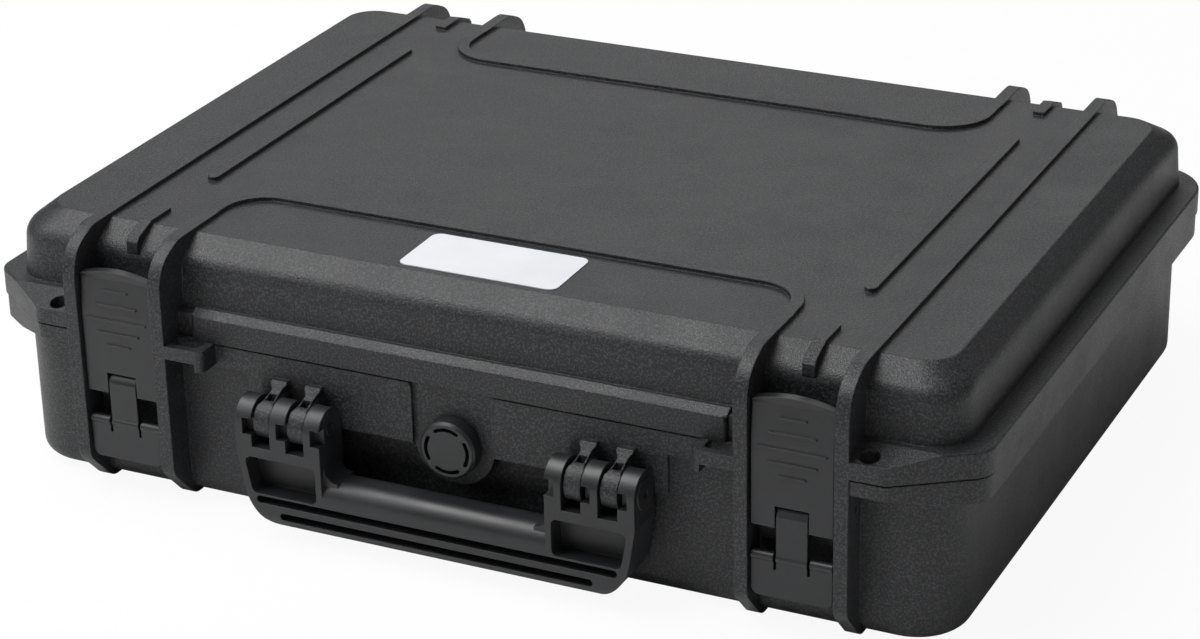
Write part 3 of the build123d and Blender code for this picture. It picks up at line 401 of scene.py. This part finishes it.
@dataclass(frozen=True)
class SealRubber:
    """Black EPDM rubber, extruded: lid gasket and valve seal."""

    name: str = "extruded_epdm_rubber"
    base: str = "1d1d1e"
    roughness: float = 0.7
    bloom_mm: float = 6.0

    def build(self) -> bpy.types.Material:
        """Makes the material.

        Returns:
            The finished material.
        """
        material, tree = blank_material(self.name)
        place = node(tree, "ShaderNodeTexCoord").outputs["Object"]
        # Wax blooms out of the rubber in pale, matt patches.
        bloom = node(
            tree,
            "ShaderNodeTexNoise",
            {"Scale": per_metre(self.bloom_mm), "Detail": 4.0},
            {"Vector": place},
        ).outputs["Fac"]
        skin = node(
            tree,
            "ShaderNodeTexNoise",
            {"Scale": per_metre(0.5), "Detail": 2.0},
            {"Vector": place},
        ).outputs["Fac"]
        bump = node(
            tree,
            "ShaderNodeBump",
            {"Strength": 0.4, "Distance": 0.04 * MM},
            {"Height": skin},
        ).outputs["Normal"]
        colour = mix_colour(
            tree, ramp(tree, bloom, 0.45, 0.7), linear(self.base), linear("2c2c2d")
        )
        gloss = ramp(tree, bloom, 0.3, 0.7, self.roughness - 0.1, self.roughness + 0.1)
        shader = node(
            tree,
            "ShaderNodeBsdfPrincipled",
            {"IOR": 1.5},
            {
                "Base Color": colour,
                "Roughness": gloss,
                "Normal": bump,
            },
        )
        node(tree, "ShaderNodeOutputMaterial", {}, {"Surface": shader.outputs[0]})
        return material


@dataclass(frozen=True)
class LabelSheet:
    """White polycarbonate label sheet, die cut, with a satin film on top."""

    name: str = "satin_white_polycarbonate"
    base: str = "dfe1e5"
    roughness: float = 0.38
    orange_peel_mm: float = 2.2

    def build(self) -> bpy.types.Material:
        """Makes the material.

        Returns:
            The finished material.
        """
        material, tree = blank_material(self.name)
        place = node(tree, "ShaderNodeTexCoord").outputs["Object"]
        # The film over the sheet has a faint orange peel that bends reflections.
        peel = node(
            tree,
            "ShaderNodeTexNoise",
            {"Scale": per_metre(self.orange_peel_mm), "Detail": 1.0},
            {"Vector": place},
        ).outputs["Fac"]
        cloud = node(
            tree,
            "ShaderNodeTexNoise",
            {"Scale": per_metre(30.0), "Detail": 3.0},
            {"Vector": place},
        ).outputs["Fac"]
        round_edge = node(
            tree, "ShaderNodeBevel", {"samples": 4, "Radius": 0.25 * MM}
        ).outputs["Normal"]
        bump = node(
            tree,
            "ShaderNodeBump",
            {"Strength": 0.25, "Distance": 0.02 * MM},
            {"Height": peel, "Normal": round_edge},
        ).outputs["Normal"]
        colour = mix_colour(
            tree, ramp(tree, cloud, 0.3, 0.7), linear(self.base), linear("d8dade")
        )
        gloss = ramp(tree, cloud, 0.3, 0.7, self.roughness - 0.03, self.roughness + 0.05)
        shader = node(
            tree,
            "ShaderNodeBsdfPrincipled",
            {"IOR": 1.58, "Coat Weight": 0.25, "Coat Roughness": 0.2},
            {
                "Base Color": colour,
                "Roughness": gloss,
                "Normal": bump,
            },
        )
        node(tree, "ShaderNodeOutputMaterial", {}, {"Surface": shader.outputs[0]})
        return material


@dataclass(frozen=True)
class ExpandedMembrane:
    """White expanded PTFE membrane of the valve, pressed between two faces."""

    name: str = "expanded_ptfe_membrane"
    base: str = "e9e9e6"
    fibre_mm: float = 0.3

    def build(self) -> bpy.types.Material:
        """Makes the material.

        Returns:
            The finished material.
        """
        material, tree = blank_material(self.name)
        place = node(tree, "ShaderNodeTexCoord").outputs["Object"]
        # Stretched fibres scatter light, so the disc is dead matt and faintly mottled.
        fibre = node(
            tree,
            "ShaderNodeTexNoise",
            {"Scale": per_metre(self.fibre_mm), "Detail": 3.0},
            {"Vector": place},
        ).outputs["Fac"]
        bump = node(
            tree,
            "ShaderNodeBump",
            {"Strength": 0.4, "Distance": 0.03 * MM},
            {"Height": fibre},
        ).outputs["Normal"]
        colour = mix_colour(
            tree, ramp(tree, fibre, 0.35, 0.65), linear(self.base), linear("d9d9d5")
        )
        shader = node(
            tree,
            "ShaderNodeBsdfPrincipled",
            {"IOR": 1.36, "Roughness": 0.85},
            {"Base Color": colour, "Normal": bump},
        )
        node(tree, "ShaderNodeOutputMaterial", {}, {"Surface": shader.outputs[0]})
        return material


@dataclass(frozen=True)
class OpenCellFoam:
    """Charcoal open-cell polyurethane foam, cut with a band knife."""

    name: str = "charcoal_polyurethane_foam"
    # dark is the painted shade in the cell holes; pale is the charcoal of the struts
    dark: str = "19191b"
    pale: str = "3b3b3f"
    cell_mm: float = 1.1
    relief_mm: float = 0.5

    def build(self) -> bpy.types.Material:
        """Makes the material.

        Returns:
            The finished material.
        """
        material, tree = blank_material(self.name)
        place = node(tree, "ShaderNodeTexCoord").outputs["Object"]
        # Cut cells are open cups: the hole in each is darkened with painted shade, and the struts
        # round it keep the paler charcoal.
        # Real cells are about 0.7 mm; they are drawn at 1.1 mm so that they show in the render.
        cells = node(
            tree,
            "ShaderNodeTexVoronoi",
            {"Scale": per_metre(self.cell_mm), "feature": "F1"},
            {"Vector": place},
        ).outputs["Distance"]
        cloud = node(
            tree,
            "ShaderNodeTexNoise",
            {"Scale": per_metre(25.0), "Detail": 3.0},
            {"Vector": place},
        ).outputs["Fac"]
        bump = node(
            tree,
            "ShaderNodeBump",
            {"Strength": 0.8, "Distance": self.relief_mm * MM},
            {"Height": cells},
        ).outputs["Normal"]
        # painted shade in the cell holes, paler charcoal on the struts
        pore_shaded = mix_colour(
            tree, ramp(tree, cells, 0.25, 0.6), linear(self.dark), linear(self.pale)
        )
        colour = mix_colour(
            tree, ramp(tree, cloud, 0.4, 0.7, 0.0, 0.3), pore_shaded, linear("2a2a2d")
        )
        shader = node(
            tree,
            "ShaderNodeBsdfPrincipled",
            {"IOR": 1.45, "Roughness": 0.92, "Sheen Weight": 0.15, "Sheen Roughness": 0.5},
            {"Base Color": colour, "Normal": bump},
        )
        node(tree, "ShaderNodeOutputMaterial", {}, {"Surface": shader.outputs[0]})
        return material


def dress(
    nodes: dict[str, bpy.types.Object], names: tuple[str, ...], material: bpy.types.Material
) -> None:
    """Gives CAD nodes a material.

    Args:
        nodes: the CAD nodes by name.
        names: the nodes to dress.
        material: the finished material.
    """
    for name in names:
        carried = nodes[name]
        if not carried.material_slots:
            carried.data.materials.append(material)
        for slot in carried.material_slots:
            slot.material = material
        LOG.info("dressed %s with %s", name, material.name)


def shade_by_angle(made: bpy.types.Object, degrees: float) -> None:
    """Shades a mesh smooth, apart from edges sharper than an angle.

    Args:
        made: the mesh object.
        degrees: the smallest angle that stays sharp.
    """
    with bpy.context.temp_override(
        active_object=made, object=made, selected_objects=[made], selected_editable_objects=[made]
    ):
        bpy.ops.object.shade_smooth_by_angle(angle=math.radians(degrees))


def object_from(name: str, shape: bmesh.types.BMesh) -> bpy.types.Object:
    """Turns a bmesh into an object in the scene.

    Args:
        name: name of the object.
        shape: the bmesh, freed here.

    Returns:
        The new object.
    """
    mesh = bpy.data.meshes.new(name)
    bmesh.ops.recalc_face_normals(shape, faces=shape.faces)
    shape.to_mesh(mesh)
    shape.free()
    made = bpy.data.objects.new(name, mesh)
    bpy.context.scene.collection.objects.link(made)
    return made


@dataclass
class Shell:
    """Base and lid shells."""

    names: tuple[str, ...] = ("base_shell", "lid_shell")
    finish: TexturedPolypropylene = TexturedPolypropylene()

    def dress(self, nodes: dict[str, bpy.types.Object]) -> None:
        """Gives both shells their plastic."""
        dress(nodes, self.names, self.finish.build())


@dataclass
class Latches:
    """Latch levers and hooks, left and right."""

    names: tuple[str, ...] = (
        "latch_lever_left",
        "latch_lever_right",
        "latch_hook_left",
        "latch_hook_right",
    )
    finish: MouldedNylon = MouldedNylon(name="latch_nylon")

    def dress(self, nodes: dict[str, bpy.types.Object]) -> None:
        """Gives the latches their nylon."""
        dress(nodes, self.names, self.finish.build())


@dataclass
class Handle:
    """Folding handle."""

    finish: MouldedNylon = MouldedNylon(name="handle_nylon", roughness=0.42)

    def dress(self, nodes: dict[str, bpy.types.Object]) -> None:
        """Gives the handle its nylon."""
        dress(nodes, ("handle",), self.finish.build())


@dataclass
class Pins:
    """Steel pins of the hinges, latches and handle."""

    names: tuple[str, ...] = (
        "hinge_pin_left",
        "hinge_pin_right",
        "lever_pin_left",
        "lever_pin_right",
        "hook_pin_left",
        "hook_pin_right",
        "handle_pin_left",
        "handle_pin_right",
    )
    finish: BlackenedSteel = BlackenedSteel()

    def dress(self, nodes: dict[str, bpy.types.Object]) -> None:
        """Gives the pins their steel."""
        dress(nodes, self.names, self.finish.build())


@dataclass
class Valve:
    """Pressure valve: cap, body, nut, membrane and seal."""

    finish: MouldedNylon = MouldedNylon(name="valve_nylon", dark="1e1f21", pale="252629")

    def dress(self, nodes: dict[str, bpy.types.Object]) -> None:
        """Gives the valve's pieces their plastics."""
        dress(nodes, ("valve_cap", "valve_body", "valve_nut"), self.finish.build())
        dress(nodes, ("valve_membrane",), ExpandedMembrane().build())


@dataclass
class Seals:
    """Lid gasket and valve seal."""

    names: tuple[str, ...] = ("lid_gasket", "valve_seal")
    finish: SealRubber = SealRubber()

    def dress(self, nodes: dict[str, bpy.types.Object]) -> None:
        """Gives the seals their rubber."""
        dress(nodes, self.names, self.finish.build())


@dataclass
class Label:
    """Bare label plate on the lid."""

    finish: LabelSheet = LabelSheet()

    def dress(self, nodes: dict[str, bpy.types.Object]) -> None:
        """Gives the plate its sheet."""
        dress(nodes, ("name_plate",), self.finish.build())


@dataclass
class FoamLining:
    """Foam in the base and the lid, made here in place of the plain CAD solids."""

    pitch_mm: float = 30.0
    wave_mm: float = 4.0
    step_mm: float = 3.0
    edge_mm: float = 3.0
    corner_mm: float = 21.0
    lid_corner_mm: float = 12.0
    pocket_half_mm: tuple[float, float] = (195.0, 137.5)
    pocket_corner_mm: float = 12.0
    notch_half_mm: float = 68.6
    wall_notch_mm: float = 16.2
    floor_notch_mm: float = 9.2
    finish: OpenCellFoam = OpenCellFoam()

    def outline(
        self, low: Vector, high: Vector, radius: float, steps: int = 10
    ) -> list[tuple[float, float]]:
        """Walks round a rectangle with rounded corners.

        Args:
            low: lowest corner.
            high: highest corner.
            radius: plan radius of the corners in metres.
            steps: points in each corner, less one.

        Returns:
            Points in order, anticlockwise.
        """
        points = []
        corners = (
            (high.x - radius, high.y - radius, 0.0),
            (low.x + radius, high.y - radius, 90.0),
            (low.x + radius, low.y + radius, 180.0),
            (high.x - radius, low.y + radius, 270.0),
        )
        for x, y, start in corners:
            for i in range(steps + 1):
                a = math.radians(start + 90.0 * i / steps)
                points.append((x + radius * math.cos(a), y + radius * math.sin(a)))
        return points

    def finish_piece(
        self, made: bpy.types.Object, stands_for: str, body: str, material: bpy.types.Material
    ) -> None:
        """Dresses a foam piece and ties it to the frame.

        Args:
            made: the piece.
            stands_for: the CAD node it replaces.
            body: the body it rides on.
            material: the foam material.
        """
        made.data.materials.append(material)
        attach(made, body)
        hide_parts(stands_for)
        LOG.info("made %s in place of %s", made.name, stands_for)

    def wavy_slab(self, name: str, low: Vector, high: Vector, radius: float) -> bpy.types.Object:
        """Makes the lid's slab, with rounded waves on its lower face.

        Args:
            name: name of the piece.
            low: lowest corner of the slab.
            high: highest corner.
            radius: plan radius of its corners.

        Returns:
            The slab.
        """
        shape = bmesh.new()
        columns = round((high.x - low.x) / (self.step_mm * MM))
        rows = round((high.y - low.y) / (self.step_mm * MM))
        grid: list[list[bmesh.types.BMVert]] = []
        top: list[list[bmesh.types.BMVert]] = []
        for i in range(columns + 1):
            x = low.x + (high.x - low.x) * i / columns
            grid.append([])
            top.append([])
            for j in range(rows + 1):
                y = low.y + (high.y - low.y) * j / rows
                px, py = self.pull_in(x, y, low, high, radius)
                edge = min(px - low.x, high.x - px, py - low.y, high.y - py)
                fade = min(1.0, max(0.0, edge / (14 * MM)))
                phase = math.tau / (self.pitch_mm * MM)
                wave = 0.5 + 0.25 * (math.cos(px * phase) + math.cos((py - low.y) * phase))
                dip = self.wave_mm * MM * wave * fade
                near = max(0.0, 1.0 - edge / (self.edge_mm * MM))
                dip += self.edge_mm * MM * (1 - math.sqrt(max(0.0, 1 - near * near)))
                dip += 0.25 * MM * noise.noise(Vector((px, py, 0)) * 120)
                grid[i].append(shape.verts.new((px, py, low.z + max(0.0, dip))))
                top[i].append(shape.verts.new((px, py, high.z)))
        for i in range(columns):
            for j in range(rows):
                shape.faces.new((grid[i][j], grid[i][j + 1], grid[i + 1][j + 1], grid[i + 1][j]))
                shape.faces.new((top[i][j], top[i + 1][j], top[i + 1][j + 1], top[i][j + 1]))
        for i in range(columns):
            shape.faces.new((grid[i][0], grid[i + 1][0], top[i + 1][0], top[i][0]))
            shape.faces.new((grid[i + 1][rows], grid[i][rows], top[i][rows], top[i + 1][rows]))
        for j in range(rows):
            shape.faces.new((grid[0][j + 1], grid[0][j], top[0][j], top[0][j + 1]))
            shape.faces.new(
                (grid[columns][j], grid[columns][j + 1], top[columns][j + 1], top[columns][j])
            )
        made = object_from(name, shape)
        shade_by_angle(made, 50)
        return made

    def pull_in(
        self, x: float, y: float, low: Vector, high: Vector, radius: float
    ) -> tuple[float, float]:
        """Moves a grid point so that the grid's corners are rounded.

        Args:
            x: place of the point.
            y: place of the point.
            low: lowest corner of the slab.
            high: highest corner.
            radius: plan radius of the corners.

        Returns:
            The moved point.
        """
        cx = min(max(x, low.x + radius), high.x - radius)
        cy = min(max(y, low.y + radius), high.y - radius)
        dx, dy = x - cx, y - cy
        if not (dx and dy):
            return x, y
        reach = max(abs(dx), abs(dy))
        shrink = reach / math.hypot(dx, dy)
        return cx + dx * shrink, cy + dy * shrink

    def soft_ring(
        self,
        name: str,
        outer: list[tuple[float, float]],
        inner: list[tuple[float, float]],
        low: float,
        high: float,
    ) -> bpy.types.Object:
        """Makes an upright band between two outlines, with rounded upper edges.

        Args:
            name: name of the piece.
            outer: outline of the outside.
            inner: outline of the pocket.
            low: height of the bottom.
            high: height of the top.

        Returns:
            The band.
        """
        shape = bmesh.new()
        for height in (low, high):
            loops = []
            for outline in (outer, inner):
                ring = [shape.verts.new((x, y, height)) for x, y in outline]
                edges = [
                    shape.edges.new((ring[i], ring[(i + 1) % len(ring)])) for i in range(len(ring))
                ]
                loops.extend(edges)
            bmesh.ops.triangle_fill(shape, use_beauty=True, use_dissolve=True, edges=loops)
        shape.verts.ensure_lookup_table()
        half = len(outer) + len(inner)
        for start, count in ((0, len(outer)), (len(outer), len(inner))):
            for i in range(count):
                a, b = start + i, start + (i + 1) % count
                shape.faces.new(
                    (shape.verts[a], shape.verts[b], shape.verts[half + b], shape.verts[half + a])
                )
        made = object_from(name, shape)
        rounding = made.modifiers.new("soft_edge", "BEVEL")
        rounding.width = self.edge_mm * MM
        rounding.segments = 4
        rounding.limit_method = "ANGLE"
        rounding.angle_limit = math.radians(60)
        with bpy.context.temp_override(object=made, active_object=made):
            bpy.ops.object.modifier_apply(modifier=rounding.name)
        shade_by_angle(made, 50)
        return made

    def build(self) -> None:
        """Makes the three foam pieces."""
        material = self.finish.build()
        corner = self.corner_mm * MM
        half = self.notch_half_mm * MM
        low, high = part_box("lid_foam")
        slab = self.wavy_slab("lid_foam_waves", Vector(low), Vector(high), self.lid_corner_mm * MM)
        self.finish_piece(slab, "lid_foam", "lid", material)
        low, high = (Vector(c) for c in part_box("base_foam_frame"))
        outer = self.notched(self.outline(low, high, corner), low, half, self.wall_notch_mm * MM)
        middle = (low + high) / 2
        reach = Vector((*(v * MM for v in self.pocket_half_mm), 0))
        inner = self.outline(middle - reach, middle + reach, self.pocket_corner_mm * MM)
        frame = self.soft_ring("base_foam_walls", outer, inner, low.z, high.z)
        self.finish_piece(frame, "base_foam_frame", "base", material)
        low, high = (Vector(c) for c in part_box("base_foam_pad"))
        outer = self.notched(self.outline(low, high, corner), low, half, self.floor_notch_mm * MM)
        pad = self.slab("base_foam_floor", outer, low.z, high.z)
        self.finish_piece(pad, "base_foam_pad", "base", material)

    def notched(
        self, points: list[tuple[float, float]], low: Vector, half: float, deep: float
    ) -> list[tuple[float, float]]:
        """Steps an outline back at the front, round the wall of the finger pocket.

        Args:
            points: the outline, whose last side is the front.
            low: lowest corner of the outline.
            half: half the width of the step.
            deep: depth of the step.

        Returns:
            The outline with the step.
        """
        steps = 11
        cut = 3 * steps
        step = [
            (-half, low.y),
            (-half, low.y + deep),
            (half, low.y + deep),
            (half, low.y),
        ]
        return points[:cut] + step + points[cut:]

    def slab(
        self, name: str, outline: list[tuple[float, float]], low: float, high: float
    ) -> bpy.types.Object:
        """Makes a flat slab with upright sides.

        Args:
            name: name of the piece.
            outline: its outline.
            low: height of the bottom.
            high: height of the top.

        Returns:
            The slab.
        """
        shape = bmesh.new()
        rings = [[shape.verts.new((x, y, z)) for x, y in outline] for z in (low, high)]
        for ring in rings:
            edges = [
                shape.edges.new((ring[i], ring[(i + 1) % len(ring)])) for i in range(len(ring))
            ]
            bmesh.ops.triangle_fill(shape, use_beauty=True, use_dissolve=True, edges=edges)
        for i in range(len(outline)):
            j = (i + 1) % len(outline)
            shape.faces.new((rings[0][i], rings[0][j], rings[1][j], rings[1][i]))
        made = object_from(name, shape)
        shade_by_angle(made, 50)
        return made


@dataclass
class Studio:
    """Floor, lamps, world and camera."""

    floor_m: float = 14.0
    azimuth: float = 25.562
    elevation: float = 24.507
    roll: float = -1.0742
    distance_mm: float = 1600.0
    target_mm: tuple[float, float, float] = (4.04, -3.09, 49.24)
    lens: float = 96.713
    shift: tuple[float, float] = (-0.016487, -0.001335)

    def floor(self) -> None:
        """Lays a white floor that keeps the case's shadow."""
        half = self.floor_m / 2
        shape = bmesh.new()
        corners = [
            shape.verts.new((x * half, y * half, -0.0002))
            for x, y in ((-1, -1), (1, -1), (1, 1), (-1, 1))
        ]
        shape.faces.new(corners)
        made = object_from("studio_floor", shape)
        material, tree = blank_material("white_paper_sweep")
        paper = node(
            tree,
            "ShaderNodeBsdfPrincipled",
            {"Base Color": linear("f2f2f2"), "Roughness": 0.9, "Specular IOR Level": 0.1},
        )
        bare = node(tree, "ShaderNodeEmission", {"Color": (1.0, 1.0, 1.0, 1.0), "Strength": 1.0})
        ray = node(tree, "ShaderNodeLightPath")
        seen = node(
            tree,
            "ShaderNodeMath",
            {"operation": "MAXIMUM"},
            {"0": ray.outputs["Is Camera Ray"], "1": ray.outputs["Is Transmission Ray"]},
        ).outputs[0]
        # Looked at directly the paper is lifted to white, and only a trace of shadow stays.
        part = node(
            tree, "ShaderNodeMath", {"operation": "MULTIPLY", "1": 0.93}, {"0": seen}
        ).outputs[0]
        both = node(
            tree,
            "ShaderNodeMixShader",
            {},
            {"0": part, "1": paper.outputs[0], "2": bare.outputs[0]},
        )
        node(tree, "ShaderNodeOutputMaterial", {}, {"Surface": both.outputs[0]})
        made.data.materials.append(material)

    def world(self) -> None:
        """Sets a pale world that is white where it is seen."""
        world = bpy.data.worlds.new("studio_world")
        world.use_nodes = True
        tree = world.node_tree
        tree.nodes.clear()
        dim = node(tree, "ShaderNodeBackground", {"Color": (1, 1, 1, 1), "Strength": 0.17})
        white = node(tree, "ShaderNodeBackground", {"Color": (1, 1, 1, 1), "Strength": 1.0})
        ray = node(tree, "ShaderNodeLightPath").outputs["Is Camera Ray"]
        both = node(
            tree, "ShaderNodeMixShader", {}, {"0": ray, "1": dim.outputs[0], "2": white.outputs[0]}
        )
        node(tree, "ShaderNodeOutputWorld", {}, {"Surface": both.outputs[0]})
        bpy.context.scene.world = world

    def lamp(
        self,
        name: str,
        place: tuple[float, float, float],
        aim: tuple[float, float, float],
        size: tuple[float, float],
        power: float,
    ) -> None:
        """Hangs one soft box.

        Args:
            name: name of the lamp.
            place: where it hangs, in metres.
            aim: the point it faces.
            size: its width and height in metres.
            power: its power in watts.
        """
        data = bpy.data.lights.new(name, "AREA")
        data.shape = "RECTANGLE"
        data.size, data.size_y = size
        data.energy = power
        made = bpy.data.objects.new(name, data)
        bpy.context.scene.collection.objects.link(made)
        made.location = place
        direction = Vector(aim) - Vector(place)
        made.rotation_mode = "QUATERNION"
        made.rotation_quaternion = direction.to_track_quat("-Z", "Y")

    def lamps(self) -> None:
        """Hangs the soft boxes: overhead, behind, at the front left and a weak one at the right."""
        self.lamp("overhead_box", (-0.7, -0.4, 1.8), (0.0, 0.0, 0.05), (1.4, 1.2), 34.0)
        self.lamp("rear_box", (-0.6, 1.7, 1.2), (0.0, 0.0, 0.05), (2.0, 0.9), 7.5)
        self.lamp("front_left_box", (-1.6, -1.3, 1.2), (0.0, -0.1, 0.05), (0.8, 0.8), 9.0)
        self.lamp("right_strip", (1.6, -0.4, 1.0), (0.1, 0.0, 0.05), (0.4, 1.2), 1.5)

    def camera(self) -> None:
        """Sets the camera where the photograph was taken from."""
        a, e, r = (math.radians(v) for v in (self.azimuth, self.elevation, self.roll))
        forward = Vector((-math.sin(a) * math.cos(e), math.cos(a) * math.cos(e), -math.sin(e)))
        level = Vector((math.cos(a), math.sin(a), 0.0))
        upright = level.cross(forward)
        right = math.cos(r) * level + math.sin(r) * upright
        up = -math.sin(r) * level + math.cos(r) * upright
        place = Vector(self.target_mm) * MM - forward * self.distance_mm * MM
        data = bpy.data.cameras.new("photo_camera")
        data.sensor_width = 36.0
        data.lens = self.lens
        data.shift_x, data.shift_y = self.shift
        data.clip_start, data.clip_end = 0.05, 50.0
        made = bpy.data.objects.new("photo_camera", data)
        bpy.context.scene.collection.objects.link(made)
        turn = Matrix((right, up, -forward)).transposed().to_4x4()
        made.matrix_world = Matrix.Translation(place) @ turn
        bpy.context.scene.camera = made

    def build(self) -> None:
        """Sets up the whole studio."""
        bpy.context.scene.view_settings.view_transform = "Standard"
        self.floor()
        self.world()
        self.lamps()
        self.camera()


def main() -> None:
    """Loads the frame, dresses and builds every piece, and sets up the studio."""
    logging.basicConfig(level=logging.INFO, format="%(name)s: %(message)s")
    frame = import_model()
    nodes = frame["nodes"]
    Shell().dress(nodes)
    Latches().dress(nodes)
    Handle().dress(nodes)
    Pins().dress(nodes)
    Valve().dress(nodes)
    Seals().dress(nodes)
    Label().dress(nodes)
    FoamLining().build()
    Studio().build()


if __name__ == "__main__":
    main()
